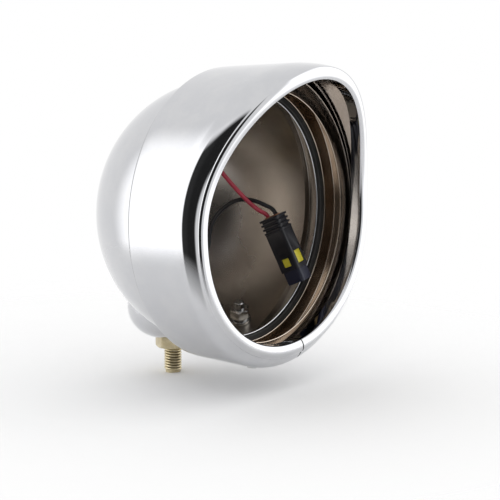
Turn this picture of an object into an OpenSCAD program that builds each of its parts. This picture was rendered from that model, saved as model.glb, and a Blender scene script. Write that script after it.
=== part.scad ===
// Round motorcycle headlight housing: a bullet-shaped bucket, a peaked split trim ring round its rim,
// a single-bolt mount under it, and a two-pin connector hanging inside on two wires.
// Frame: the mounting bolt stands on X = Y = 0, its nut's underside is Z = 0 and the beam points along -Y.

/* [Bucket] */
// Outer radius of the bucket at its widest
bucket_r = 72.2; // [60:0.1:84]
// Distance from the beam's axis to the centre of the arc that rounds the bucket's side
shoulder_offset = 3.8; // [2:0.1:6]
// How much larger the radius of the rear's shallow arc is than that of the side's arc
pole_extra = 14.1; // [10:0.1:20]
// Distance from the ring's rear edge forward to the bucket's widest circle
widest_reach = 3.4; // [2.5:0.1:6]
// Thickness of the bucket's sheet
bucket_wall = 1.2; // [0.8:0.1:1.6]
// How far the rolled rim that the ring grips stands out of the bucket
rim_step = 4; // [3:0.1:5]
// Corner radius of the rolled rim, outside
rim_round = 2; // [1.7:0.1:2.4]
// Width of the flange round the mouth
mouth_flange_w = 12.1; // [9:0.1:15]
// Distance from the ring's rear edge forward to the mouth's front face
mouth_reach = 15.6; // [12:0.1:19]

/* [Visor ring] */
// Clearance between the rolled rim and the ring
ring_gap = 0.6; // [0.4:0.1:1]
// Thickness of the ring's sheet
ring_wall = 1.2; // [0.8:0.1:1.5]
// Corner radius of the ring's rear edge
ring_round = 2; // [1.6:0.1:2.5]
// Growth of the ring's radius over each millimetre forward, at the top
flare_top = 0.056; // [0.03:0.001:0.07]
// Growth of the ring's radius over each millimetre forward, at the bottom
flare_bottom = 0.029; // [0.01:0.001:0.04]
// Distance from the rear edge to the lip, at the bottom and the sides
lip_reach = 42.2; // [41:0.1:55]
// How much further the lip reaches at the top
visor_rise = 21.7; // [10:0.1:40]
// How far the lip's outer edge at the bottom lies inside the ring's rear edge
lip_bottom_inset = 4.7; // [3:0.1:7]
// How far the lip's outer edge at the sides lies inside the ring's rear edge
lip_side_inset = 4.4; // [3:0.1:7]
// How far the lip's outer edge at the top lies outside the ring's rear edge
lip_top_outset = 1.1; // [0:0.1:2]
// How fast the lip's radius changes from the sides up
lip_side_slope = -1.3; // [-3:0.1:0]
// Width of the rounded lip
lip_w = 6.9; // [5.5:0.1:8.5]
// How far the lip's rounded face stands forward
lip_bulge = 2; // [1.2:0.1:2.8]
// Length over which the wall rounds in to the lip, at the bottom and the sides
shoulder_low = 8; // [6:0.5:10]
// Length over which the wall rounds in to the lip, at the top
shoulder_high = 16; // [10:0.5:20]
// Length of the lip's inner turn back into the ring
lip_return = 5.5; // [4:0.1:7]
// Width of the slit
slit_w = 1; // [0.6:0.1:2]
// Angle of the slit from the bottom, towards +X
slit_angle = 9.5; // [5:0.5:20]

/* [Lamp channel and seal] */
// Width of the channel's rear flange
channel_rear_w = 9.6; // [7:0.1:11]
// Width of the channel's front flange
channel_front_w = 11.2; // [7:0.1:13]
// Depth of the channel, outside
channel_depth = 12.8; // [10:0.1:15]
// Thickness of the channel's sheet
channel_wall = 1; // [0.8:0.1:1.5]
// Thickness of the mouth seal
seal_t = 2; // [1.5:0.1:2.5]
// How far the mouth seal stays back from the mouth's edge
seal_inset = 0.5; // [0.2:0.1:2]

/* [Ring screw] */
// Angle from the bottom, towards -X, of the screw that holds the channel in the ring
ring_screw_angle = 5; // [0:0.5:20]
// Diameter of that screw
ring_screw_d = 4; // [3:0.5:4.5]
// Length of that screw under its head
ring_screw_l = 8; // [6.5:0.5:10]
// Diameter of its head
ring_screw_head_d = 7; // [6:0.1:8.5]
// Height of its head
ring_screw_head_h = 2; // [1.6:0.1:2.6]
// Side of its square nut
ring_nut_side = 7; // [6:0.1:7.5]
// Height of its square nut
ring_nut_h = 2.5; // [2:0.1:3]

/* [Mount] */
// Distance from the bucket's rear forward to the mounting bolt
bolt_from_rear = 28.4; // [24:0.1:34]
// Diameter of the mounting bolt's free thread
bolt_d = 10; // [8:0.5:12]
// Diameter of its shank, and of its thread inside the nut
bolt_shank_d = 9; // [7:0.1:9.4]
// Length of thread left free under the nut
bolt_free = 14.3; // [11:0.1:18]
// Distance across the flats of the bolt's head and nut
bolt_af = 17; // [15:0.5:19]
// Height of the bolt's head
bolt_head_h = 6.4; // [5:0.1:8]
// Height of the mounting nut
nut_h = 8; // [6.5:0.1:10]
// Depth to which the nut sits in the saddle
nut_recess = 1.8; // [1:0.1:3]
// Height of the saddle between its underside and the bucket, at the bolt
saddle_h = 12.7; // [10:0.1:16]
// Largest radius of the saddle
saddle_r = 25; // [22:0.5:29]
// Radius of the rounding round the saddle's side
saddle_round = 17; // [15:0.5:20]
// Radius of the block inside the bucket
block_r = 11; // [9:0.5:13]
// Height of the block's top over the bucket's underside, at the bolt
block_h = 14.8; // [12:0.1:18]
// Outer radius of the washer under the bolt's head
bolt_washer_r = 10.5; // [8.8:0.1:12]
// Thickness of that washer
bolt_washer_t = 2; // [1.5:0.1:2.5]

/* [Side fastener] */
// Angle of the side fastener from the bottom, towards +X
side_angle = 23; // [18:1:34]
// Its place behind the bucket's widest circle, as an angle round the side arc
side_turn = 12; // [9:1:24]
// Diameter of its screw
side_d = 6; // [5:0.5:7]
// Diameter of its head, outside the bucket
side_head_d = 10.5; // [8.5:0.5:13]
// Height of its head
side_head_h = 3.3; // [2.5:0.1:4]
// Distance across the flats of its nut
side_af = 10; // [8.5:0.5:12]
// Height of its nut
side_nut_h = 5; // [4:0.1:6]
// Outer radius of its flat washer
side_washer_r = 6; // [4.5:0.1:8]
// Thickness of its flat washer
side_washer_t = 1.6; // [1:0.1:2]
// Thickness of its spring washer
side_spring_t = 1.6; // [1.2:0.1:2]
// Length of screw that shows past the nut
side_end = 4.5; // [1:0.1:6]

/* [Wires and grommet] */
// Diameter of each wire
wire_d = 2.4; // [2:0.1:3]
// Angle of the grommet below the beam's axis, round the rear arc's centre
grommet_angle = 16; // [12:1:19]
// Radius of the grommet's hole in the bucket
grommet_hole_r = 5.5; // [4.5:0.1:6.5]
// Radius of the grommet's flanges
grommet_r = 7.5; // [6.2:0.1:9]
// Thickness of each of its flanges
grommet_flange_t = 1.6; // [1.2:0.1:2.5]

/* [Connector] */
// Width of the connector's body
conn_w = 12.5; // [12:0.1:15]
// Thickness of the connector's body
conn_t = 11; // [9:0.1:13]
// Length of the ridged cap at the wires' end
cap_l = 8.5; // [7:0.5:10]
// Length of the body
conn_l = 23; // [19:0.5:27]
// Length of the nose
nose_l = 7.5; // [6:0.5:9]
// Wall of the connector's mouldings
conn_wall = 1.4; // [1:0.1:1.7]
// Distance between the two wires in the connector
pin_pitch = 5.5; // [4.5:0.1:6]
// Diameter of a terminal
terminal_d = 1.8; // [1.2:0.1:2.2]
// Length of each window from which the lock shows
window_l = 5; // [4:0.1:6]
// Distance from the body's front end back to the windows
window_back = 2.4; // [2:0.1:4]
// Thickness of the latch
latch_t = 1.2; // [0.8:0.1:1.6]
// Height of the latch over the body
latch_gap = 1.4; // [1:0.1:2]
// Length of the latch
latch_l = 14; // [11:0.5:17]

/* [Hidden] */
$fn = 96;

// Clearance between pieces that slide on each other
fit = 0.2;
// Clearance round a thread
thread_fit = 0.1;
// Allowance that carries a cutter through a face
cut = 1;

chrome = [0.86, 0.87, 0.89];
steel = [0.62, 0.63, 0.65];
zinc = [0.85, 0.80, 0.62];
rubber = [0.12, 0.12, 0.12];
black_plastic = [0.10, 0.10, 0.14];
yellow_plastic = [0.85, 0.80, 0.15];

// Places along the beam's axis are measured forward from the ring's rear edge.
shoulder_r = bucket_r - shoulder_offset;
shoulder_lean = asin(shoulder_offset / pole_extra);
pole_r = shoulder_r + pole_extra;
pole_centre = widest_reach + pole_extra * cos(shoulder_lean);
bolt_back = pole_r - pole_centre - bolt_from_rear;
rim_rear = ring_wall;
rim_r = bucket_r + rim_step;
mouth_r = rim_r - mouth_flange_w;
ring_r = rim_r + ring_gap + ring_wall;
channel_start = mouth_reach + seal_t;
channel_r = ring_r - ring_wall + flare_bottom * channel_start - fit;
ring_screw_reach = channel_start + channel_depth / 2;

// Heights of the mount's pieces on the bolt's axis
saddle_bottom = nut_h - nut_recess;
bucket_underside = saddle_bottom + saddle_h;
axis_h = bucket_underside + bowl_r_at(-bolt_back, 0);
block_top = bucket_underside + block_h;
bolt_head_z = block_top + bolt_washer_t;

// Radius of the bucket's side at a place behind its widest circle, moved in by inset
function bowl_r_at(reach, inset) =
    shoulder_offset + sqrt(pow(shoulder_r - inset, 2) - pow(widest_reach - reach, 2));

// Stands what is drawn with the beam along +Z and the top along +Y in its place on the housing.
module on_beam_axis() {
    translate([0, -bolt_back, axis_h]) rotate([90, 0, 0]) children();
}

// A rectangle with rounded corners, from the origin
module rounded_rectangle(size, radius) {
    translate([radius, 0]) square([size[0] - 2 * radius, size[1]]);
    translate([0, radius]) square([size[0], size[1] - 2 * radius]);
    for (x = [radius, size[0] - radius], y = [radius, size[1] - radius])
        translate([x, y]) circle(radius);
}

// A block with rounded long edges along X, centred on the X axis
module rounded_block(length, width, thickness, radius) {
    rotate([90, 0, 90]) linear_extrude(length)
        translate([-width / 2, -thickness / 2]) rounded_rectangle([width, thickness], radius);
}

// A hexagonal prism whose corners are turned off at both ends
module hexagon(af, height) {
    corner_d = af / cos(30);
    reach = corner_d / 2 + cut;
    bevel = (reach - af / 2) * tan(30);
    intersection() {
        cylinder(d = corner_d, h = height, $fn = 6);
        rotate_extrude() polygon([
            [0, 0], [af / 2, 0], [reach, bevel], [reach, height - bevel], [af / 2, height], [0, height]
        ]);
    }
}

module hex_nut(af, height, bore_d) {
    difference() {
        hexagon(af, height);
        translate([0, 0, -cut]) cylinder(d = bore_d + thread_fit, h = height + 2 * cut);
    }
}

module flat_ring(outer_r, bore_r, height) {
    difference() {
        cylinder(r = outer_r, h = height);
        translate([0, 0, -cut]) cylinder(r = bore_r, h = height + 2 * cut);
    }
}

// A screw's shank from z = 0 up, with its end turned off
module shank(diameter, length) {
    bevel = diameter / 12;
    cylinder(d = diameter, h = length - bevel);
    translate([0, 0, length - bevel]) cylinder(d1 = diameter, d2 = diameter - 2 * bevel, h = bevel);
}

// Half section of a sheet channel that opens towards the axis: radius along X, beam along Y
module channel_section(rear_r, front_r, outer_r, rear, front, wall, radius) {
    start = min(rear_r, front_r) - 2 * radius;
    intersection() {
        difference() {
            translate([start, rear])
                rounded_rectangle([outer_r - start, front - rear], radius);
            translate([start, rear + wall])
                rounded_rectangle([outer_r - wall - start, front - rear - 2 * wall], radius - wall);
        }
        union() {
            translate([rear_r, rear]) square([outer_r - rear_r, front - rear - wall]);
            translate([front_r, front - wall]) square([outer_r - front_r, wall]);
            translate([outer_r - radius, rear]) square([radius, front - rear]);
        }
    }
}

// Half section of the bucket's whole body, moved in by inset
module bowl_section(inset) {
    reach = 2 * pole_r;
    intersection() {
        translate([0, pole_centre]) circle(pole_r - inset);
        polygon([
            [0, pole_centre],
            [0, pole_centre - reach],
            [reach * sin(shoulder_lean), pole_centre - reach * cos(shoulder_lean)]
        ]);
    }
    intersection() {
        translate([shoulder_offset, widest_reach]) circle(shoulder_r - inset);
        translate([0, widest_reach - reach]) square([reach, reach]);
    }
}

module bowl_solid(inset) {
    on_beam_axis() rotate_extrude() bowl_section(inset);
}

module bucket_section() {
    difference() {
        bowl_section(0);
        bowl_section(bucket_wall);
        translate([0, rim_rear + bucket_wall]) square(2 * bucket_r);
    }
    channel_section(bucket_r - bucket_wall, mouth_r, rim_r, rim_rear, mouth_reach, bucket_wall, rim_round);
}

module bucket() {
    color(chrome)
    difference() {
        on_beam_axis() rotate_extrude() bucket_section();
        cylinder(d = bolt_d + 2 * fit, h = axis_h);
        on_side_fastener() translate([0, 0, -cut]) cylinder(d = side_d + 2 * fit, h = bucket_wall + 2 * cut);
        on_grommet() translate([0, 0, -cut]) cylinder(r = grommet_hole_r, h = bucket_wall + 2 * cut);
    }
}

// The ring's form at an angle round the beam, where 0 is +X and 90 is the top
function top_share(angle) = (1 + sin(angle)) / 2;
function wall_r(angle, reach) =
    ring_r + reach * (flare_bottom + (flare_top - flare_bottom) * top_share(angle));
function lip_at(angle) = lip_reach + visor_rise * pow(max(0, sin(angle)), 2);
function lip_outer_r(angle) =
    ring_r - lip_side_inset + lip_side_slope * sin(angle)
    + ((lip_top_outset - lip_bottom_inset) / 2 + lip_side_inset) * pow(sin(angle), 2)
    + ((lip_top_outset + lip_bottom_inset) / 2 - lip_side_slope) * pow(sin(angle), 3);
function shoulder_l(angle) = shoulder_low + (shoulder_high - shoulder_low) * pow(max(0, sin(angle)), 2);

// Outline of the ring's outer face at an angle, as [radius, reach], from the rear flange to the lip's turn
lip_face_r = (pow(lip_w / 2, 2) + pow(lip_bulge, 2)) / (2 * lip_bulge);
lip_face_span = asin(lip_w / 2 / lip_face_r);
function outer_outline(angle) =
    let (
        lip = lip_at(angle),
        edge = lip_outer_r(angle),
        shoulder = shoulder_l(angle),
        start = lip - shoulder,
        side = wall_r(angle, start)
    )
    concat(
        [[bucket_r + fit, 0]],
        [for (turn = [0:30:90])
            [ring_r - ring_round * (1 - sin(turn)), ring_round * (1 - cos(turn))]],
        [[wall_r(angle, channel_start), channel_start]],
        [for (turn = [0:15:90])
            [edge + (side - edge) * cos(turn), start + shoulder * sin(turn)]],
        [for (turn = [-lip_face_span + 0.001 : lip_face_span / 3 : lip_face_span + 0.01])
            [edge - lip_w / 2 - lip_face_r * sin(turn), lip + lip_bulge - lip_face_r * (1 - cos(turn))]],
        [[edge - lip_w, lip - lip_return]]
    );

// A closed outline of the sheet: the outer face, then the inner face back to the start
function unit(v) = v / norm(v);
function heading(points, i) =
    unit(points[min(i + 1, len(points) - 1)] - points[max(i - 1, 0)]);
function sheet_outline(points, wall) =
    concat(
        points,
        [for (i = [len(points) - 1 : -1 : 0])
            let (h = heading(points, i)) points[i] + wall * [-h[1], h[0]]]
    );

// A solid through outlines of equal length, one after the other, closed at both ends
module loft(outlines) {
    count = len(outlines[0]);
    last = len(outlines) - 1;
    polyhedron(
        points = [for (outline = outlines) each outline],
        faces = concat(
            [[for (i = [0 : count - 1]) i]],
            [for (k = [0 : last - 1], i = [0 : count - 1])
                let (j = (i + 1) % count)
                [k * count + i, (k + 1) * count + i, (k + 1) * count + j, k * count + j]],
            [[for (i = [count - 1 : -1 : 0]) last * count + i]]
        )
    );
}

ring_steps = 116;
module visor_ring() {
    slit_turn = asin(slit_w / 2 / ring_r);
    first = slit_angle - 90 + slit_turn;
    step = (360 - 2 * slit_turn) / ring_steps;
    color(chrome)
    difference() {
        on_beam_axis() loft([
            for (k = [0 : ring_steps])
                let (angle = first + k * step)
                [for (p = sheet_outline(outer_outline(angle), ring_wall))
                    [p[0] * cos(angle), p[0] * sin(angle), p[1]]]
        ]);
        on_ring_screw() cylinder(d = ring_screw_d + fit, h = 2 * ring_r, $fn = 48);
    }
}

module lamp_channel() {
    color(steel)
    difference() {
        on_beam_axis() rotate_extrude()
            channel_section(channel_r - channel_rear_w, channel_r - channel_front_w, channel_r,
                channel_start, channel_start + channel_depth, channel_wall, 2 * channel_wall);
        on_ring_screw() cylinder(d = ring_screw_d + fit, h = 2 * ring_r, $fn = 48);
    }
}

module mouth_seal() {
    color(rubber)
    on_beam_axis() rotate_extrude()
        translate([mouth_r + seal_inset, mouth_reach])
            square([mouth_flange_w - rim_round - seal_inset, seal_t]);
}

// Frame of the ring's screw: on the beam's axis, Z out through the ring's underside
module on_ring_screw() {
    on_beam_axis() translate([0, 0, ring_screw_reach])
        rotate([0, 0, -ring_screw_angle]) rotate([90, 0, 0]) children();
}

module ring_screw() {
    head_z = wall_r(-90, ring_screw_reach);
    slot_w = ring_screw_d / 5;
    color(zinc)
    on_ring_screw() {
        translate([0, 0, head_z]) mirror([0, 0, 1]) shank(ring_screw_d, ring_screw_l, $fn = 48);
        translate([0, 0, head_z]) difference() {
            cylinder(d1 = ring_screw_head_d, d2 = ring_screw_head_d * 0.7, h = ring_screw_head_h, $fn = 48);
            for (turn = [0, 90])
                rotate([0, 0, turn]) translate([-ring_screw_d / 2, -slot_w / 2, ring_screw_head_h / 2])
                    cube([ring_screw_d, slot_w, ring_screw_head_h]);
        }
    }
}

module ring_nut() {
    corner_z = sqrt(pow(channel_r - channel_wall, 2) - pow(ring_nut_side / 2, 2));
    color(zinc)
    on_ring_screw() translate([0, 0, corner_z - ring_nut_h]) difference() {
        translate([-ring_nut_side / 2, -ring_nut_side / 2, 0])
            cube([ring_nut_side, ring_nut_side, ring_nut_h]);
        translate([0, 0, -cut]) cylinder(d = ring_screw_d + thread_fit, h = ring_nut_h + 2 * cut, $fn = 48);
    }
}

module saddle() {
    hex_r = bolt_af / cos(30) / 2 + fit;
    color(chrome)
    difference() {
        translate([0, 0, saddle_bottom]) rotate_extrude() intersection() {
            translate([-saddle_r, 0])
                rounded_rectangle([2 * saddle_r, 2 * saddle_round + fit], saddle_round);
            square([saddle_r, 2 * saddle_r]);
        }
        bowl_solid(0);
        cylinder(d = bolt_d + 2 * fit, h = axis_h);
        cylinder(r = hex_r, h = nut_h);
    }
}

module inner_saddle() {
    color(steel)
    difference() {
        intersection() {
            cylinder(r = block_r, h = block_top);
            bowl_solid(bucket_wall);
        }
        cylinder(d = bolt_d + 2 * fit, h = block_top + cut);
    }
}

// The free thread is drawn at its full diameter, and the thread in the nut as wide as the shank.
module mount_bolt() {
    color(zinc) {
        mirror([0, 0, 1]) shank(bolt_d, bolt_free);
        cylinder(d = bolt_shank_d, h = bolt_head_z);
        translate([0, 0, bolt_head_z]) hexagon(bolt_af, bolt_head_h);
    }
}

module mount_washer() {
    color(zinc) translate([0, 0, block_top]) flat_ring(bolt_washer_r, bolt_shank_d / 2 + fit, bolt_washer_t);
}

module mount_nut() {
    color(zinc) hex_nut(bolt_af, nut_h, bolt_shank_d);
}

// Frame of the side fastener: on the bucket's outer face, Z inwards
module on_side_fastener() {
    on_beam_axis() rotate([0, 0, side_angle - 90])
        translate([shoulder_offset, 0, widest_reach]) rotate([0, side_turn, 0])
        translate([shoulder_r, 0, 0]) rotate([0, -90, 0]) children();
}

// Height at which a flat face of the given radius rests inside the bowl
function seat_in(bowl_r, face_r) = bucket_wall + bowl_r - sqrt(bowl_r * bowl_r - face_r * face_r);
side_washer_z = seat_in(shoulder_r - bucket_wall, side_washer_r);
side_spring_z = side_washer_z + side_washer_t;
side_nut_z = side_spring_z + side_spring_t;

module side_screw() {
    socket_af = side_d * 2 / 3;
    color(zinc)
    on_side_fastener() {
        shank(side_d, side_nut_z + side_nut_h + side_end);
        difference() {
            mirror([0, 0, 1]) cylinder(d1 = side_head_d, d2 = side_head_d * 0.7, h = side_head_h);
            translate([0, 0, -side_head_h - cut])
                cylinder(d = socket_af / cos(30), h = side_head_h / 2 + cut, $fn = 6);
        }
    }
}

module side_washer() {
    color(zinc) on_side_fastener() translate([0, 0, side_washer_z])
        flat_ring(side_washer_r, side_d / 2 + fit, side_washer_t);
}

module side_spring_washer() {
    split_w = side_spring_t / 2;
    color(zinc) on_side_fastener() translate([0, 0, side_spring_z]) difference() {
        flat_ring(side_af / 2, side_d / 2 + thread_fit, side_spring_t);
        rotate([0, 0, 20]) translate([0, -split_w / 2, -cut])
            cube([side_af, split_w, side_spring_t + 2 * cut]);
    }
}

module side_nut() {
    color(zinc) on_side_fastener() translate([0, 0, side_nut_z]) hex_nut(side_af, side_nut_h, side_d);
}

// Frame of the grommet: on the bucket's outer face, Z inwards
module on_grommet() {
    on_beam_axis() translate([0, 0, pole_centre]) rotate([-grommet_angle, 0, 0])
        translate([0, 0, -pole_r]) children();
}

grommet_inner_z = seat_in(pole_r - bucket_wall, grommet_r);
module grommet() {
    color(rubber) on_grommet() {
        translate([0, 0, -grommet_flange_t]) cylinder(r = grommet_r, h = grommet_flange_t);
        cylinder(r = grommet_hole_r - thread_fit, h = grommet_inner_z);
        translate([0, 0, grommet_inner_z]) cylinder(r = grommet_r, h = grommet_flange_t);
    }
}

// The wires' routes, from the grommet to the connector
red_route = [
    [2.3, 22.2, 55.9], [2.5, 18.6, 57.1], [3, 14.2, 61], [4, 9.8, 67.5], [5, 5, 75], [6.2, -0.5, 83.5],
    [7.6, -6.5, 91.5], [9, -12.5, 97.8], [11, -18, 100.8], [13.2, -22.2, 99.6], [16, -24.9, 95.4],
    [19, -27.4, 90.8], [22, -29.9, 86.5], [25, -32.4, 82.4], [28, -34.8, 78.8], [31.2, -37.4, 75.8],
    [33.7, -39.3, 74], [34.8, -40.3, 72.3]
];
black_route = [
    [-2.3, 22.2, 55.9], [-2, 18.4, 55.6], [0.5, 13.8, 54.8], [4.5, 8.5, 53], [9, 3, 51], [13.5, -3, 50],
    [17, -8.4, 51.2], [18.6, -10.6, 55.5], [19, -10.8, 60.8], [20, -11.6, 66.4], [21.5, -14, 72.1],
    [23.5, -18.4, 77.3], [26, -23.8, 80.8], [28.5, -29.2, 81.9], [31.3, -34.4, 81], [33.8, -39.2, 78.8],
    [35, -43, 76.9], [35, -45.4, 74.5]
];

// Frames carried along a route without twist: each is [point, side, up]
wire_sides = 8;
function route_heading(route, i) = unit(route[min(i + 1, len(route) - 1)] - route[max(i - 1, 0)]);
function carry(side, along) = unit(side - (side * along) * along);
function route_sides(route, i, side) =
    i >= len(route) ? [] :
    let (next = carry(side, route_heading(route, i)))
    concat([next], route_sides(route, i + 1, next));

module wire(route) {
    sides = route_sides(route, 0, [1, 0, 0.3]);
    loft([
        for (i = [0 : len(route) - 1])
            let (along = route_heading(route, i), up = cross(along, sides[i]))
            [for (k = [0 : wire_sides - 1])
                let (turn = 360 * k / wire_sides)
                route[i] + wire_d / 2 * (cos(turn) * sides[i] + sin(turn) * up)]
    ]);
}

module red_wire() {
    color([0.75, 0.08, 0.15]) wire(red_route);
}

module black_wire() {
    color([0.08, 0.08, 0.10]) wire(black_route);
}

// Frame of the connector: X from the wires' end to the nose, Z out of the wide face with a window
module on_connector() {
    translate([35, -43, 72.8]) rotate([0, 66, -65]) rotate([111, 0, 0]) children();
}

body_start = cap_l;
nose_start = body_start + conn_l;
seal_d = pin_pitch - 0.8;
seal_l = 6;
chamber_w = conn_w - 2 * conn_wall;
chamber_t = conn_t - 2 * conn_wall;

module connector_cap() {
    ridge_l = cap_l / 7;
    color(black_plastic)
    on_connector() difference() {
        union() {
            rounded_block(cap_l, conn_w - 1, conn_t - 1, 2);
            for (x = [0 : 2 * ridge_l : cap_l - ridge_l])
                translate([x, 0, 0]) rounded_block(ridge_l, conn_w + 1, conn_t + 1, 2.5);
        }
        for (y = [-pin_pitch / 2, pin_pitch / 2])
            translate([-cut, y, 0]) rotate([0, 90, 0]) cylinder(d = seal_d, h = cap_l + 2 * cut);
    }
}

module wire_seals() {
    color([0.75, 0.45, 0.25])
    on_connector() for (y = [-pin_pitch / 2, pin_pitch / 2])
        translate([-0.5, y, 0]) rotate([0, 90, 0]) cylinder(d = seal_d - thread_fit, h = seal_l);
}

// A block for the two windows: one in the wide face, and one in the narrow face at +Y
module window_blocks(shrink, depth) {
    wide_w = chamber_w / 2;
    narrow_w = chamber_t * 3 / 4;
    translate([conn_l - window_back - window_l, 0, 0]) {
        translate([shrink, -wide_w / 2 + shrink, 0])
            cube([window_l - 2 * shrink, wide_w - 2 * shrink, conn_t / 2 + depth]);
        translate([shrink - window_l / 2, 0, -narrow_w / 2 + shrink])
            cube([window_l * 3 / 2 - 2 * shrink, conn_w / 2 + depth, narrow_w - 2 * shrink]);
    }
}

module connector_body() {
    color(black_plastic)
    on_connector() translate([body_start, 0, 0]) difference() {
        rounded_block(conn_l, conn_w, conn_t, 1.5);
        translate([conn_wall, 0, 0]) rounded_block(conn_l, chamber_w, chamber_t, 0.8);
        for (y = [-pin_pitch / 2, pin_pitch / 2])
            translate([-cut, y, 0]) rotate([0, 90, 0])
                cylinder(d = terminal_d + fit, h = conn_wall + 2 * cut);
        window_blocks(0, cut);
    }
}

module connector_lock() {
    lock_start = conn_wall + fit;
    lock_l = conn_l - lock_start - fit;
    color(yellow_plastic)
    on_connector() translate([body_start, 0, 0]) difference() {
        union() {
            translate([lock_start, 0, 0])
                rounded_block(lock_l, chamber_w - 2 * fit, chamber_t - 2 * fit, 0.8);
            window_blocks(fit, -2 * fit);
        }
        for (y = [-pin_pitch / 2, pin_pitch / 2])
            translate([0, y, 0]) rotate([0, 90, 0]) cylinder(d = terminal_d + fit, h = conn_l);
    }
}

module connector_nose() {
    color([0.12, 0.13, 0.22])
    on_connector() translate([nose_start, 0, 0]) difference() {
        rounded_block(nose_l, conn_w - 1, conn_t - 1, 2);
        translate([conn_wall, 0, 0])
            rounded_block(nose_l, conn_w - 1 - 2 * conn_wall, conn_t - 1 - 2 * conn_wall, 0.8);
        for (y = [-pin_pitch / 2, pin_pitch / 2])
            translate([-cut, y, 0]) rotate([0, 90, 0])
                cylinder(d = terminal_d + fit, h = conn_wall + 2 * cut);
    }
}

module terminals() {
    start = seal_l - 0.5;
    color([0.80, 0.70, 0.45])
    on_connector() for (y = [-pin_pitch / 2, pin_pitch / 2])
        translate([start, y, 0]) rotate([0, 90, 0])
            shank(terminal_d, nose_start + nose_l - 3 - start, $fn = 32);
}

module connector_latch() {
    latch_w = conn_w / 2;
    color(black_plastic)
    on_connector() translate([body_start + latch_t, -latch_w / 2, -conn_t / 2 - latch_gap - latch_t]) {
        cube([latch_l, latch_w, latch_t]);
        translate([latch_l / 3, 0, latch_t]) cube([2 * latch_t, latch_w, latch_gap]);
        translate([latch_l - latch_t, 0, latch_t]) cube([latch_t, latch_w, latch_gap / 2]);
    }
}

bucket();
visor_ring();
lamp_channel();
mouth_seal();
ring_screw();
ring_nut();
saddle();
inner_saddle();
mount_bolt();
mount_washer();
mount_nut();
side_screw();
side_washer();
side_spring_washer();
side_nut();
grommet();
red_wire();
black_wire();
connector_cap();
wire_seals();
connector_body();
connector_lock();
connector_nose();
terminals();
connector_latch();
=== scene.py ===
import math
import bmesh
import bpy
from mathutils import Matrix, Vector


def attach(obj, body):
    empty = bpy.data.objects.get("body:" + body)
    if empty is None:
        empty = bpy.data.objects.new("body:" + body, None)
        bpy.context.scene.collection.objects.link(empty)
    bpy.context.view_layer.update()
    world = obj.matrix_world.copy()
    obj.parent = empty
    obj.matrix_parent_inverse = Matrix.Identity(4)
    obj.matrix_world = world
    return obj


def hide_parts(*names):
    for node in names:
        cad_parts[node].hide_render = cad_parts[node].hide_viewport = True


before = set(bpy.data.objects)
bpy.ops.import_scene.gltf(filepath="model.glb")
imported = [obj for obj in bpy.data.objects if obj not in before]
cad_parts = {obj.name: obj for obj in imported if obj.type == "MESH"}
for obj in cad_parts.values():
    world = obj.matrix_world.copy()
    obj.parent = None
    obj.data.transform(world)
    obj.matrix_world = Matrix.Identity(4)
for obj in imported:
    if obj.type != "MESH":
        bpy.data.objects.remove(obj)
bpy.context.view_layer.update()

# Round motorcycle headlight housing. The beam points along -Y, the mounting bolt stands on X = Y = 0
# and its nut's underside is Z = 0. Sizes are in millimetres, and MM turns them into metres.
MM = 0.001

# Camera, at the photograph's viewing angle
CAMERA_AT = (-621.5, -532.1, 174.2)
CAMERA_HEADING = 52.45
CAMERA_TILT = 8.35
LENS = 107.4
SENSOR = 36.0

# Studio: half the floor's width in metres, and the share of it where the floor is whole
FLOOR_HALF = 0.34
FLOOR_WHOLE = 0.25

# Reflected studio: how much brighter than the white room its screens are, and how dark its dark side is
SCREEN_EXTRA = 0.8
DARK_DEPTH = 0.98

# Where these start to fade in and are whole, as parts of a direction: up, ahead of the camera, to its right
SCREEN_TOP = (0.85, 0.6)
SCREEN_FOOT = (-0.5, -0.25)
LEFT_SCREEN_RIGHT = (0.1, -0.25)
LEFT_SCREEN_AHEAD = (0.45, 0.05)
RIGHT_SCREEN_RIGHT = (0.5, 0.7)
RIGHT_SCREEN_AHEAD = (-0.45, -0.25)
DARK_AHEAD = (-0.74, -0.84)
DARK_TOP = (0.8, 0.6)
DARK_FOOT = (-0.85, -0.65)

# Bucket: a side arc and a shallower rear arc, a rolled rim and a flange round the mouth
BUCKET_R = 72.2
SHOULDER_OFFSET = 3.8
POLE_EXTRA = 14.1
WIDEST_REACH = 3.4
BUCKET_WALL = 1.2
RIM_STEP = 4.0
RIM_ROUND = 2.0
MOUTH_FLANGE_W = 12.1
MOUTH_REACH = 15.6

# Trim ring
RING_GAP = 0.6
RING_WALL = 1.2
RING_ROUND = 2.0
FLARE_TOP = 0.056
FLARE_BOTTOM = 0.029
LIP_REACH = 42.2
VISOR_RISE = 21.7
LIP_BOTTOM_INSET = 4.7
LIP_SIDE_INSET = 4.4
LIP_TOP_OUTSET = 1.1
LIP_SIDE_SLOPE = -1.3
LIP_W = 6.9
LIP_BULGE = 2.0
SHOULDER_LOW = 8.0
SHOULDER_HIGH = 16.0
SHOULDER_TURN = 55.0
LIP_RETURN = 5.5
SLIT_W = 1.0
SLIT_ANGLE = 9.5

# Painted shade line at the ring's rear edge, standing for the shadow in the gap where the ring meets the
# bucket, forward from that edge
SHADE_LINE_START = 0.2
SHADE_LINE_END = 1.0
SHADE_LINE_FADE = 0.3

# Lamp channel and mouth seal
CHANNEL_REAR_W = 9.6
CHANNEL_FRONT_W = 11.2
CHANNEL_DEPTH = 12.8
CHANNEL_WALL = 1.0
SEAL_T = 2.0
SEAL_INSET = 0.5
SEAL_ROUND = 0.5
SEAL_CORNER = 0.2

# A sheet's thickness over the rounding of its cut edge
EDGE_SHARE = 2.1

# Room between the pieces that fit
FIT = 0.2

# Mount
BOLT_FROM_REAR = 28.4
BOLT_D = 10.0
BOLT_FREE = 14.3
BOLT_PITCH = 1.5
BOLT_CHAMFER = 0.8
NUT_H = 8.0
NUT_RECESS = 1.8
SADDLE_H = 12.7

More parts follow.
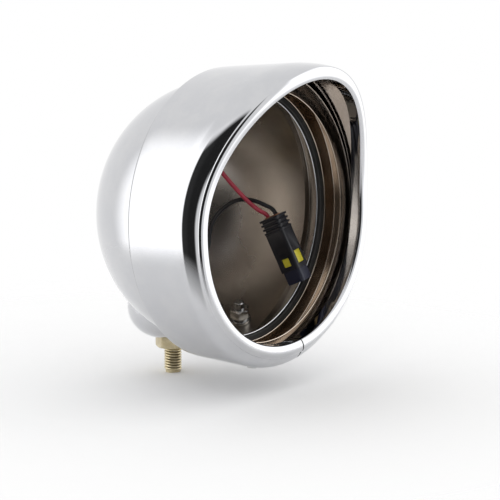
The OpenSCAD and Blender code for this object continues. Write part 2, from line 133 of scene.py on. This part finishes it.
# Thread: its depth as a share of the pitch, the step down to its core, and its smoothness
THREAD_DEPTH = 0.55
CORE_STEP = 0.05
THREAD_STEPS = 48
RIDGE_SIDES = 4

# What follows from those sizes
SHOULDER_R = BUCKET_R - SHOULDER_OFFSET
SHOULDER_LEAN = math.asin(SHOULDER_OFFSET / POLE_EXTRA)
POLE_R = SHOULDER_R + POLE_EXTRA
POLE_CENTRE = WIDEST_REACH + POLE_EXTRA * math.cos(SHOULDER_LEAN)
BOLT_BACK = POLE_R - POLE_CENTRE - BOLT_FROM_REAR
RIM_R = BUCKET_R + RIM_STEP
MOUTH_R = RIM_R - MOUTH_FLANGE_W
RING_R = RIM_R + RING_GAP + RING_WALL
CHANNEL_START = MOUTH_REACH + SEAL_T
CHANNEL_R = RING_R - RING_WALL + FLARE_BOTTOM * CHANNEL_START - FIT
SADDLE_BOTTOM = NUT_H - NUT_RECESS
BOLT_REACH = WIDEST_REACH + BOLT_BACK
AXIS_H = SADDLE_BOTTOM + SADDLE_H + SHOULDER_OFFSET + math.sqrt(SHOULDER_R ** 2 - BOLT_REACH ** 2)

# Wires: the routes are those of the solids
WIRE_D = 2.4
RED_ROUTE = [
    (2.3, 22.2, 55.9), (2.5, 18.6, 57.1), (3, 14.2, 61), (4, 9.8, 67.5), (5, 5, 75), (6.2, -0.5, 83.5),
    (7.6, -6.5, 91.5), (9, -12.5, 97.8), (11, -18, 100.8), (13.2, -22.2, 99.6), (16, -24.9, 95.4),
    (19, -27.4, 90.8), (22, -29.9, 86.5), (25, -32.4, 82.4), (28, -34.8, 78.8), (31.2, -37.4, 75.8),
    (33.7, -39.3, 74), (34.8, -40.3, 72.3)]
BLACK_ROUTE = [
    (-2.3, 22.2, 55.9), (-2, 18.4, 55.6), (0.5, 13.8, 54.8), (4.5, 8.5, 53), (9, 3, 51), (13.5, -3, 50),
    (17, -8.4, 51.2), (18.6, -10.6, 55.5), (19, -10.8, 60.8), (20, -11.6, 66.4), (21.5, -14, 72.1),
    (23.5, -18.4, 77.3), (26, -23.8, 80.8), (28.5, -29.2, 81.9), (31.3, -34.4, 81), (33.8, -39.2, 78.8),
    (35, -43, 76.9), (35, -45.4, 74.5)]


def add_camera():
    data = bpy.data.cameras.new("camera")
    data.lens = LENS
    data.sensor_width = SENSOR
    data.clip_end = 10.0
    camera = bpy.data.objects.new("camera", data)
    camera.location = Vector(CAMERA_AT) * MM
    camera.rotation_euler = (math.radians(90 - CAMERA_TILT), 0, math.radians(-CAMERA_HEADING))
    bpy.context.collection.objects.link(camera)
    bpy.context.scene.camera = camera


class Value:
    """A socket in a node tree, with the arithmetic that the finishes use."""

    def __init__(self, nodes, socket):
        self.nodes = nodes
        self.socket = socket

    def math(self, operation, *operands):
        return self.nodes.node("ShaderNodeMath", {"operation": operation}, dict(enumerate(operands)))

    def __add__(self, other):
        return self.math("ADD", self, other)

    def __mul__(self, other):
        return self.math("MULTIPLY", self, other)

    def __sub__(self, other):
        return self.math("SUBTRACT", self, other)

    def __rsub__(self, other):
        return self.math("SUBTRACT", other, self)

    def __truediv__(self, other):
        return self.math("DIVIDE", self, other)

    def __pow__(self, other):
        return self.math("POWER", self, other)

    __radd__ = __add__
    __rmul__ = __mul__

    def over(self, low, high):
        """0 below low, 1 above high, and smooth between them; falls instead where low is the larger."""
        if low > high:
            return 1 - self.over(high, low)
        return self.nodes.node(
            "ShaderNodeMapRange", {"interpolation_type": "SMOOTHSTEP"},
            {"Value": self, "From Min": low, "From Max": high})


class Nodes:
    """A node tree and the few nodes that the finishes are made of."""

    def __init__(self, tree):
        self.tree = tree

    def feed(self, socket, value):
        if isinstance(value, Value):
            self.tree.links.new(value.socket, socket)
        else:
            socket.default_value = value

    def node(self, kind, settings, sockets, output=0):
        made = self.tree.nodes.new(kind)
        for name, value in settings.items():
            setattr(made, name, value)
        for name, value in sockets.items():
            self.feed(made.inputs[name], value)
        return Value(self, made.outputs[output])

    def mix(self, share, first, second):
        made = self.tree.nodes.new("ShaderNodeMix")
        made.data_type = "RGBA"
        self.feed(made.inputs[0], share)
        self.feed(made.inputs[6], first)
        self.feed(made.inputs[7], second)
        return Value(self, made.outputs[2])

    def axes(self, vector):
        made = self.tree.nodes.new("ShaderNodeSeparateXYZ")
        self.feed(made.inputs[0], vector)
        return [Value(self, made.outputs[k]) for k in range(3)]


class Finish(Nodes):
    """A material."""

    def __init__(self, name):
        self.material = bpy.data.materials.new(name)
        self.material.use_nodes = True
        super().__init__(self.material.node_tree)
        self.surface = self.tree.nodes["Principled BSDF"]
        self.place = self.node("ShaderNodeTexCoord", {}, {}, "Object")

    def noise(self, scale, detail=3.0, rough=0.5, stretch=(1, 1, 1)):
        place = self.place
        if stretch != (1, 1, 1):
            place = self.node("ShaderNodeMapping", {}, {"Vector": place, "Scale": stretch})
        return self.node(
            "ShaderNodeTexNoise", {},
            {"Vector": place, "Scale": scale, "Detail": detail, "Roughness": rough})

    def bump(self, height, strength, distance):
        sockets = {"Height": height, "Strength": strength, "Distance": distance * MM}
        return self.node("ShaderNodeBump", {}, sockets, "Normal")

    def set(self, **sockets):
        for name, value in sockets.items():
            self.feed(self.surface.inputs[name.replace("_", " ")], value)
        return self.material


def rgb(red, green, blue):
    return (red, green, blue, 1.0)


def chrome():
    finish = Finish("chrome")
    haze = finish.noise(70, 4, 0.6)
    waves = finish.noise(14, 2, 0.4)
    clean = finish.mix(haze.over(0.35, 0.75), rgb(0.585, 0.59, 0.61), rgb(0.62, 0.622, 0.635))
    forward = -BOLT_BACK - finish.axes(finish.place)[1] / MM
    # Painted shade: a thin dark band in the chrome's colour just forward of the ring's rear edge, standing
    # for the gap's shadow at the seam
    painted_shade_line = forward.over(SHADE_LINE_START - SHADE_LINE_FADE, SHADE_LINE_START) * forward.over(SHADE_LINE_END + SHADE_LINE_FADE, SHADE_LINE_END)
    return finish.set(
        Metallic=1.0,
        Base_Color=finish.mix(painted_shade_line, clean, rgb(0.12, 0.12, 0.13)),
        Roughness=0.035 + 0.03 * haze,
        Normal=finish.bump(waves, 0.05, 1.0))


def bowl_inside():
    finish = Finish("bowl_inside")
    stain = finish.noise(16, 4, 0.6)
    grain = finish.noise(300, 3, 0.6)
    return finish.set(
        Metallic=1.0,
        Base_Color=finish.mix(stain.over(0.3, 0.7), rgb(0.44, 0.40, 0.36), rgb(0.58, 0.53, 0.47)),
        Roughness=0.22 + 0.10 * stain,
        Normal=finish.bump(grain, 0.02, 0.2))


def channel_steel():
    finish = Finish("channel_steel")
    stain = finish.noise(30, 4, 0.6)
    return finish.set(
        Metallic=1.0,
        Base_Color=finish.mix(stain.over(0.3, 0.7), rgb(0.50, 0.41, 0.33), rgb(0.66, 0.57, 0.48)),
        Roughness=0.14 + 0.10 * stain)


def metal(name, dark, light, rough, grain_size):
    finish = Finish(name)
    stain = finish.noise(140, 4, 0.6)
    grain = finish.noise(grain_size, 3, 0.6)
    return finish.set(
        Metallic=1.0,
        Base_Color=finish.mix(stain.over(0.35, 0.7), dark, light),
        Roughness=rough + 0.15 * stain,
        Normal=finish.bump(grain, 0.12, 0.3))


def plastic(name, dark, light, rough, grain_size=500):
    finish = Finish(name)
    stain = finish.noise(60, 4, 0.6)
    grain = finish.noise(grain_size, 3, 0.6)
    return finish.set(
        Base_Color=finish.mix(stain.over(0.3, 0.7), dark, light),
        Roughness=rough + 0.12 * stain,
        Normal=finish.bump(grain, 0.12, 0.2))


CHROME = chrome()
BOWL_INSIDE = bowl_inside()
CHANNEL_STEEL = channel_steel()
ZINC = metal("zinc", rgb(0.50, 0.42, 0.26), rgb(0.72, 0.64, 0.44), 0.24, 900)
STEEL = metal("steel", rgb(0.50, 0.50, 0.50), rgb(0.72, 0.72, 0.71), 0.16, 700)
BRASS = metal("terminal_metal", rgb(0.70, 0.58, 0.34), rgb(0.82, 0.72, 0.48), 0.22, 700)
RUBBER = plastic("rubber", rgb(0.012, 0.012, 0.012), rgb(0.03, 0.029, 0.028), 0.5)
BLACK_PLASTIC = plastic("black_plastic", rgb(0.006, 0.006, 0.009), rgb(0.013, 0.013, 0.018), 0.32)
NAVY_PLASTIC = plastic("navy_plastic", rgb(0.008, 0.009, 0.022), rgb(0.014, 0.016, 0.035), 0.35)
YELLOW_PLASTIC = plastic("yellow_plastic", rgb(0.50, 0.43, 0.03), rgb(0.70, 0.62, 0.06), 0.30)
RED_INSULATION = plastic("red_insulation", rgb(0.30, 0.012, 0.035), rgb(0.42, 0.03, 0.06), 0.34)
BLACK_INSULATION = plastic("black_insulation", rgb(0.008, 0.008, 0.011), rgb(0.018, 0.018, 0.022), 0.34)
SEAL_RUBBER = plastic("seal_rubber", rgb(0.25, 0.09, 0.04), rgb(0.35, 0.14, 0.07), 0.5)


def shown(mesh, *materials):
    """A new object that shows the mesh with its materials."""
    piece = bpy.data.objects.new(mesh.name, mesh)
    for material in materials:
        mesh.materials.append(material)
    bpy.context.collection.objects.link(piece)
    return piece


def stands_for(piece, node):
    """Puts the piece in the place of the node, on the part's one body."""
    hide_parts(node)
    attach(piece, "root")


def finished(bm, name, degrees=30):
    """Turns the work mesh into a mesh with smooth faces, and sharp edges where they meet steeply."""
    bmesh.ops.recalc_face_normals(bm, faces=bm.faces)
    mesh = bpy.data.meshes.new(name)
    bm.to_mesh(mesh)
    bm.free()
    mesh.polygons.foreach_set("use_smooth", [True] * len(mesh.polygons))
    mesh.set_sharp_from_angle(angle=math.radians(degrees))
    return mesh


def on_beam_axis(across, up, forward):
    """A point given from the beam's axis, forward from the ring's rear edge, in metres in the frame."""
    return Vector((across, -BOLT_BACK - forward, AXIS_H + up)) * MM


def arc(centre, radius, start, end, steps):
    """Points of an arc as (radius, reach); its angles start from the radial direction."""
    turns = [start + (end - start) * k / steps for k in range(steps + 1)]
    return [(centre[0] + radius * math.cos(t), centre[1] + radius * math.sin(t)) for t in turns]


def rounded(corners, steps=6):
    """An outline through corners, each given as (radius, reach, rounding)."""
    points = []
    for k, (radius, reach, rounding) in enumerate(corners):
        here = Vector((radius, reach))
        if rounding == 0:
            points.append((radius, reach))
            continue
        before = (Vector(corners[k - 1][:2]) - here).normalized()
        after = (Vector(corners[(k + 1) % len(corners)][:2]) - here).normalized()
        half = before.angle(after) / 2
        centre = here + (before + after).normalized() * rounding / math.sin(half)
        first = here + before * rounding / math.tan(half) - centre
        last = here + after * rounding / math.tan(half) - centre
        for i in range(steps + 1):
            bow = first.lerp(last, i / steps).normalized() * rounding
            points.append(tuple(centre + bow))
    return points


def revolved(outline, name, steps=288, closed=True):
    """A mesh turned round the beam's axis from (radius, reach) points."""
    bm = bmesh.new()
    rows = []
    for radius, reach in outline:
        if radius < 0.001:
            rows.append([bm.verts.new(on_beam_axis(0, 0, reach))] * steps)
            continue
        turns = [2 * math.pi * k / steps for k in range(steps)]
        rows.append([
            bm.verts.new(on_beam_axis(radius * math.cos(t), radius * math.sin(t), reach)) for t in turns])
    pairs = zip(rows, rows[1:] + rows[:1]) if closed else zip(rows, rows[1:])
    for low, high in pairs:
        for k in range(steps):
            j = (k + 1) % steps
            corners = []
            for corner in (low[k], low[j], high[j], high[k]):
                if corner not in corners:
                    corners.append(corner)
            if len(corners) > 2:
                bm.faces.new(corners)
    return finished(bm, name)


def bowl_line(inset, front, steps):
    """The bowl's half outline from its pole forward to front, moved in by inset."""
    join = SHOULDER_LEAN - math.pi / 2
    end = math.asin((front - WIDEST_REACH) / (SHOULDER_R - inset))
    rear = arc((0, POLE_CENTRE), POLE_R - inset, -math.pi / 2, join, steps // 3)
    side = arc((SHOULDER_OFFSET, WIDEST_REACH), SHOULDER_R - inset, join, end, steps)
    return [(0, rear[0][1])] + rear[1:] + side[1:]


def bucket_mesh():
    rim_rear = RING_WALL
    outer = bowl_line(0, rim_rear, 60)
    inner = bowl_line(BUCKET_WALL, rim_rear + BUCKET_WALL, 60)
    inside_r = RIM_R - BUCKET_WALL
    inside_round = RIM_ROUND - BUCKET_WALL
    rim = rounded([
        outer[-1] + (0,),
        (RIM_R, rim_rear, RIM_ROUND),
        (RIM_R, MOUTH_REACH, RIM_ROUND),
        (MOUTH_R, MOUTH_REACH, BUCKET_WALL / EDGE_SHARE),
        (MOUTH_R, MOUTH_REACH - BUCKET_WALL, BUCKET_WALL / EDGE_SHARE),
        (inside_r, MOUTH_REACH - BUCKET_WALL, inside_round),
        (inside_r, rim_rear + BUCKET_WALL, inside_round),
        inner[-1] + (0,),
    ])
    return revolved(outer[:-1] + rim + inner[-2::-1], "bucket_shell", 360, closed=False)


def wall_r(angle, reach):
    top = (1 + math.sin(angle)) / 2
    return RING_R + reach * (FLARE_BOTTOM + (FLARE_TOP - FLARE_BOTTOM) * top)


def peak(angle):
    """How much of the peak there is at an angle round the beam: 0 below the axis, 1 at the top."""
    return max(0.0, math.sin(angle)) ** 2


def lip_outer_r(angle):
    height = math.sin(angle)
    even = (LIP_TOP_OUTSET - LIP_BOTTOM_INSET) / 2 + LIP_SIDE_INSET
    odd = (LIP_TOP_OUTSET + LIP_BOTTOM_INSET) / 2 - LIP_SIDE_SLOPE
    return RING_R - LIP_SIDE_INSET + LIP_SIDE_SLOPE * height + even * height ** 2 + odd * height ** 3


def ring_outline(angle):
    """The ring's outer face at an angle round the beam, as (radius, reach) from its rear flange on."""
    lip = LIP_REACH + VISOR_RISE * peak(angle)
    edge = lip_outer_r(angle)
    shoulder = SHOULDER_LOW + (SHOULDER_HIGH - SHOULDER_LOW) * peak(angle)
    start = lip - shoulder
    side = wall_r(angle, start)
    corner = arc((RING_R - RING_ROUND, RING_ROUND), RING_ROUND, -math.pi / 2, 0, 6)
    wall = [
        (wall_r(angle, f), f) for f in (RING_ROUND + (start - RING_ROUND) * k / 10 for k in range(1, 10))]
    end = math.radians(SHOULDER_TURN)
    drop = (side - edge) / (1 - math.cos(end))
    reach = shoulder / math.sin(end)
    turns = [end * k / 14 for k in range(15)]
    rounding = [(side - drop * (1 - math.cos(t)), start + reach * math.sin(t)) for t in turns]
    turns = [math.pi * k / 18 for k in range(1, 19)]
    bead = [(edge - LIP_W / 2 * (1 - math.cos(t)), lip + LIP_BULGE * math.sin(t)) for t in turns]
    back = [(edge - LIP_W, lip - LIP_RETURN * k / 4) for k in range(1, 5)]
    return [(BUCKET_R + FIT, 0.0)] + corner + wall + rounding + bead + back


def inner_line(points, wall):
    """The same line moved inwards by the sheet's thickness, from its end back to its start."""
    line = []
    for k in range(len(points) - 1, -1, -1):
        before = Vector(points[max(k - 1, 0)])
        after = Vector(points[min(k + 1, len(points) - 1)])
        along = (after - before).normalized()
        line.append((points[k][0] - wall * along.y, points[k][1] + wall * along.x))
    return line


def ring_mesh(stations=300):
    bm = bmesh.new()
    slit_turn = math.asin(SLIT_W / 2 / RING_R)
    first = math.radians(SLIT_ANGLE - 90) + slit_turn
    step = (2 * math.pi - 2 * slit_turn) / stations
    rows = []
    for k in range(stations + 1):
        angle = first + k * step
        outline = ring_outline(angle)
        rows.append([
            bm.verts.new(on_beam_axis(r * math.cos(angle), r * math.sin(angle), f))
            for r, f in outline + inner_line(outline, RING_WALL)])
    count = len(rows[0])
    for low, high in zip(rows, rows[1:]):
        for i in range(count):
            j = (i + 1) % count
            bm.faces.new((low[i], low[j], high[j], high[i]))
    for row in (rows[0], rows[-1]):
        for i in range(count // 2 - 1):
            bm.faces.new((row[i], row[i + 1], row[count - 2 - i], row[count - 1 - i]))
    return finished(bm, "trim_ring")


def channel_mesh():
    front = CHANNEL_START + CHANNEL_DEPTH
    rear_r = CHANNEL_R - CHANNEL_REAR_W
    front_r = CHANNEL_R - CHANNEL_FRONT_W
    inside_r = CHANNEL_R - CHANNEL_WALL
    edge = CHANNEL_WALL / EDGE_SHARE
    return revolved(rounded([
        (rear_r, CHANNEL_START, edge),
        (CHANNEL_R, CHANNEL_START, 2 * CHANNEL_WALL),
        (CHANNEL_R, front, 2 * CHANNEL_WALL),
        (front_r, front, edge),
        (front_r, front - CHANNEL_WALL, edge),
        (inside_r, front - CHANNEL_WALL, CHANNEL_WALL),
        (inside_r, CHANNEL_START + CHANNEL_WALL, CHANNEL_WALL),
        (rear_r, CHANNEL_START + CHANNEL_WALL, edge),
    ], 5), "channel")


def seal_mesh():
    inner_r = MOUTH_R + SEAL_INSET
    outer_r = RIM_R - RIM_ROUND
    return revolved(rounded([
        (inner_r, MOUTH_REACH, SEAL_ROUND),
        (outer_r, MOUTH_REACH, SEAL_CORNER),
        (outer_r, CHANNEL_START, SEAL_CORNER),
        (inner_r, CHANNEL_START, SEAL_ROUND),
    ], 4), "seal")


def is_inside(face):
    """Whether a face of the bucket looks into the bowl."""
    centre = face.center / MM
    reach = -centre.y - BOLT_BACK
    outwards = Vector((centre.x, 0, centre.z - AXIS_H))
    if reach > MOUTH_REACH - BUCKET_WALL / 2 or outwards.length > RIM_R - BUCKET_WALL / 2:
        return False
    if reach < RING_WALL + BUCKET_WALL:
        from_axis = math.hypot(outwards.length - SHOULDER_OFFSET, reach - WIDEST_REACH)
        from_pole = math.hypot(outwards.length, reach - POLE_CENTRE)
        return from_axis < SHOULDER_R - BUCKET_WALL / 2 and from_pole < POLE_R - BUCKET_WALL / 2
    return True


def wire(name, route, material):
    """A round wire through the points of its route."""
    curve = bpy.data.curves.new(name, "CURVE")
    curve.dimensions = "3D"
    curve.resolution_u = 8
    curve.bevel_depth = WIRE_D / 2 * MM
    curve.bevel_resolution = 5
    curve.use_fill_caps = True
    spline = curve.splines.new("BEZIER")
    spline.bezier_points.add(len(route) - 1)
    for point, place in zip(spline.bezier_points, route):
        point.co = Vector(place) * MM
        point.handle_left_type = "AUTO"
        point.handle_right_type = "AUTO"
    curve.materials.append(material)
    piece = bpy.data.objects.new(name, curve)
    bpy.context.collection.objects.link(piece)
    return piece


def softened(node, width, material, degrees=30):
    """Stands for a node with its own shape, its sharp edges rounded by width."""
    bm = bmesh.new()
    bm.from_mesh(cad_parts[node].data)
    bmesh.ops.remove_doubles(bm, verts=bm.verts, dist=0.002 * MM)
    bmesh.ops.dissolve_limit(bm, angle_limit=math.radians(1), verts=bm.verts, edges=bm.edges)
    mesh = bpy.data.meshes.new(node + "_made")
    bm.to_mesh(mesh)
    bm.free()
    piece = shown(mesh, material)
    bevel = piece.modifiers.new("edges", "BEVEL")
    bevel.width = width * MM
    bevel.segments = 2
    bevel.limit_method = "ANGLE"
    bevel.angle_limit = math.radians(degrees)
    ready = piece.evaluated_get(bpy.context.evaluated_depsgraph_get())
    piece.data = bpy.data.meshes.new_from_object(ready)
    piece.modifiers.remove(bevel)
    piece.data.polygons.foreach_set("use_smooth", [True] * len(piece.data.polygons))
    piece.data.set_sharp_from_angle(angle=math.radians(degrees))
    stands_for(piece, node)
    return piece


def thread_group():
    """Geometry Nodes that wind a ridge upwards from the object's origin, as a screw's thread."""
    group = bpy.data.node_groups.new("screw_thread", "GeometryNodeTree")
    sockets = group.interface
    for name in ("Radius", "Pitch", "Turns"):
        sockets.new_socket(name, in_out="INPUT", socket_type="NodeSocketFloat")
    sockets.new_socket("Finish", in_out="INPUT", socket_type="NodeSocketMaterial")
    sockets.new_socket("Geometry", in_out="OUTPUT", socket_type="NodeSocketGeometry")
    work = Nodes(group)
    given = group.nodes.new("NodeGroupInput")
    radius, pitch, turns, finish = (Value(work, given.outputs[k]) for k in range(4))
    middle = radius - pitch / 2
    path = work.node("GeometryNodeCurveSpiral", {}, {
        "Resolution": THREAD_STEPS, "Rotations": turns, "Start Radius": middle, "End Radius": middle,
        "Height": pitch * turns})
    upright = work.node("GeometryNodeSetCurveNormal", {"mode": "Z_UP"}, {"Curve": path})
    ridge = work.node("GeometryNodeCurvePrimitiveCircle", {}, {
        "Resolution": RIDGE_SIDES, "Radius": pitch / 2})
    wound = work.node("GeometryNodeCurveToMesh", {}, {
        "Curve": upright, "Profile Curve": ridge, "Fill Caps": True})
    real = work.node("GeometryNodeRealizeInstances", {}, {"Geometry": wound})
    made = work.node("GeometryNodeSetMaterial", {}, {"Geometry": real, "Material": finish})
    out = group.nodes.new("NodeGroupOutput")
    group.links.new(made.socket, out.inputs[0])
    return group


def threaded(node, radius, pitch, low, high, material):
    """Stands for an upright screw: its own shape with a slimmer core, and a thread from low to high."""
    screw = softened(node, 0.2, material)
    core = radius - THREAD_DEPTH * pitch
    bm = bmesh.new()
    bm.from_mesh(screw.data)
    for height in (high, high - CORE_STEP):
        everything = bm.verts[:] + bm.edges[:] + bm.faces[:]
        bmesh.ops.bisect_plane(
            bm, geom=everything, dist=1e-7, plane_co=(0, 0, height * MM), plane_no=(0, 0, 1))
    for vert in bm.verts:
        around = math.hypot(vert.co.x, vert.co.y) / MM
        if vert.co.z < (high - CORE_STEP / 2) * MM and around > core:
            vert.co.x *= core / around
            vert.co.y *= core / around
    bm.to_mesh(screw.data)
    bm.free()
    carrier = shown(bpy.data.meshes.new(node + "_thread"))
    winding = carrier.modifiers.new("thread", "NODES")
    winding.node_group = thread_group()
    names = {
        item.name: item.identifier for item in winding.node_group.interface.items_tree
        if item.in_out == "INPUT"}
    winding[names["Radius"]] = radius * MM
    winding[names["Pitch"]] = pitch * MM
    winding[names["Turns"]] = (high - low) / pitch - 1
    winding[names["Finish"]] = material
    ready = carrier.evaluated_get(bpy.context.evaluated_depsgraph_get())
    carrier.data = bpy.data.meshes.new_from_object(ready)
    carrier.modifiers.remove(winding)
    carrier.data.transform(Matrix.Translation((0, 0, (low + pitch / 2) * MM)))
    stands_for(carrier, node)


add_camera()

# Wires and their connector
red = wire("red_lead", RED_ROUTE, RED_INSULATION)
black = wire("black_lead", BLACK_ROUTE, BLACK_INSULATION)
stands_for(red, "red_wire")
stands_for(black, "black_wire")
cap = softened("connector_cap", 0.3, BLACK_PLASTIC)
seals = softened("wire_seals", 0.2, SEAL_RUBBER)
body = softened("connector_body", 0.25, BLACK_PLASTIC)
lock = softened("connector_lock", 0.2, YELLOW_PLASTIC)
nose = softened("connector_nose", 0.3, NAVY_PLASTIC)
pins = softened("terminals", 0.1, BRASS)
latch = softened("connector_latch", 0.25, BLACK_PLASTIC)

# Sheet metal
ring = shown(ring_mesh(), CHROME)
stands_for(ring, "visor_ring")
shell = shown(bucket_mesh(), CHROME, BOWL_INSIDE)
for face in shell.data.polygons:
    face.material_index = int(is_inside(face))
stands_for(shell, "bucket")
stands_for(shown(channel_mesh(), CHANNEL_STEEL), "lamp_channel")
stands_for(shown(seal_mesh(), RUBBER), "mouth_seal")
softened("saddle", 0.4, CHROME, 40)

# Fasteners
threaded("mount_bolt", BOLT_D / 2, BOLT_PITCH, -BOLT_FREE + BOLT_CHAMFER, 0, ZINC)
for node in ("mount_washer", "mount_nut"):
    softened(node, 0.25, ZINC)
for node in ("ring_screw", "ring_nut", "side_screw", "side_washer", "side_spring_washer", "side_nut"):
    softened(node, 0.2, STEEL)
softened("inner_saddle", 0.5, STEEL)
softened("grommet", 0.5, RUBBER)


def studio_world():
    """White all round; reflections see two bright screens and the dark room where the camera stands."""
    world = bpy.data.worlds.new("studio")
    bpy.context.scene.world = world
    world.use_nodes = True
    room = Nodes(world.node_tree)
    x, y, z = room.axes(room.node("ShaderNodeTexCoord", {}, {}, "Generated"))
    turn = math.radians(CAMERA_HEADING)
    level = (x * x + y * y + 0.0001) ** 0.5
    ahead = (x * math.sin(turn) + y * math.cos(turn)) / level
    right = (x * math.cos(turn) - y * math.sin(turn)) / level
    middle = z.over(*SCREEN_TOP) * z.over(*SCREEN_FOOT)
    left_screen = right.over(*LEFT_SCREEN_RIGHT) * ahead.over(*LEFT_SCREEN_AHEAD)
    right_screen = right.over(*RIGHT_SCREEN_RIGHT) * ahead.over(*RIGHT_SCREEN_AHEAD)
    screens = middle * (left_screen + right_screen) * SCREEN_EXTRA
    dark = ahead.over(*DARK_AHEAD) * z.over(*DARK_TOP) * z.over(*DARK_FOOT)
    seen = (1 + screens) * (1 - dark * DARK_DEPTH)
    camera_ray = room.node("ShaderNodeLightPath", {}, {}, "Is Camera Ray")
    glossy_ray = room.node("ShaderNodeLightPath", {}, {}, "Is Glossy Ray")
    strength = 1 + glossy_ray * (1 - camera_ray) * (seen - 1)
    room.feed(world.node_tree.nodes["Background"].inputs["Color"], rgb(1.0, 1.0, 1.0))
    room.feed(world.node_tree.nodes["Background"].inputs["Strength"], strength)


def floor():
    """A plain white floor that keeps the shadow and fades out beside the part."""
    level = -BOLT_FREE * MM
    mesh = bpy.data.meshes.new("floor")
    mesh.from_pydata([
        (-FLOOR_HALF, -FLOOR_HALF, level), (FLOOR_HALF, -FLOOR_HALF, level),
        (FLOOR_HALF, FLOOR_HALF, level), (-FLOOR_HALF, FLOOR_HALF, level)], [], [(0, 1, 2, 3)])
    finish = Finish("floor")
    x, y, _ = finish.axes(finish.place)
    away = (x * x + y * y) ** 0.5
    finish.set(
        Base_Color=rgb(1.0, 1.0, 1.0), Roughness=1.0, Specular_IOR_Level=0.0,
        Alpha=away.over(FLOOR_HALF, FLOOR_HALF * FLOOR_WHOLE))
    piece = shown(mesh, finish.material)


studio_world()
floor()
bpy.context.scene.view_settings.view_transform = "Standard"
